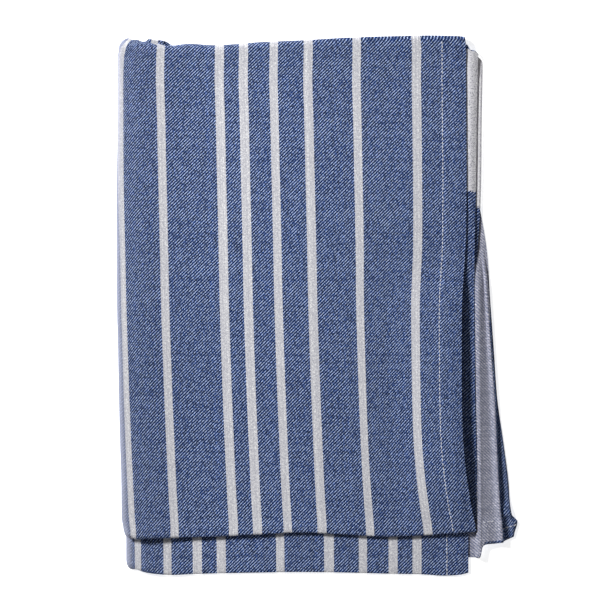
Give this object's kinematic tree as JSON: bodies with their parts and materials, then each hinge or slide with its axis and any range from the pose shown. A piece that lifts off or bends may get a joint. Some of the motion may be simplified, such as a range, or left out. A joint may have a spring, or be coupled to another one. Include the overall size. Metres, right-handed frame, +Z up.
{
  "type": "folded tea towel",
  "caption": "Striped cotton twill tea towel folded into quarters, with turned-in ends and uneven layer edges, lying flat.",
  "frame": {"origin": "under the middle of the folded towel's box, on the surface that it lies on", "axes": "+X across the stripes, away from the left crease; +Y along the stripes, towards the top crease; +Z up"},
  "size_m": [0.289, 0.3896, 0.0139],
  "materials": {
    "cloth": "blue and white cotton twill with plain white stripes along its length, matt"
  },
  "bodies": {
    "root": {"towel": "cloth"}
  },
  "joints": []
}
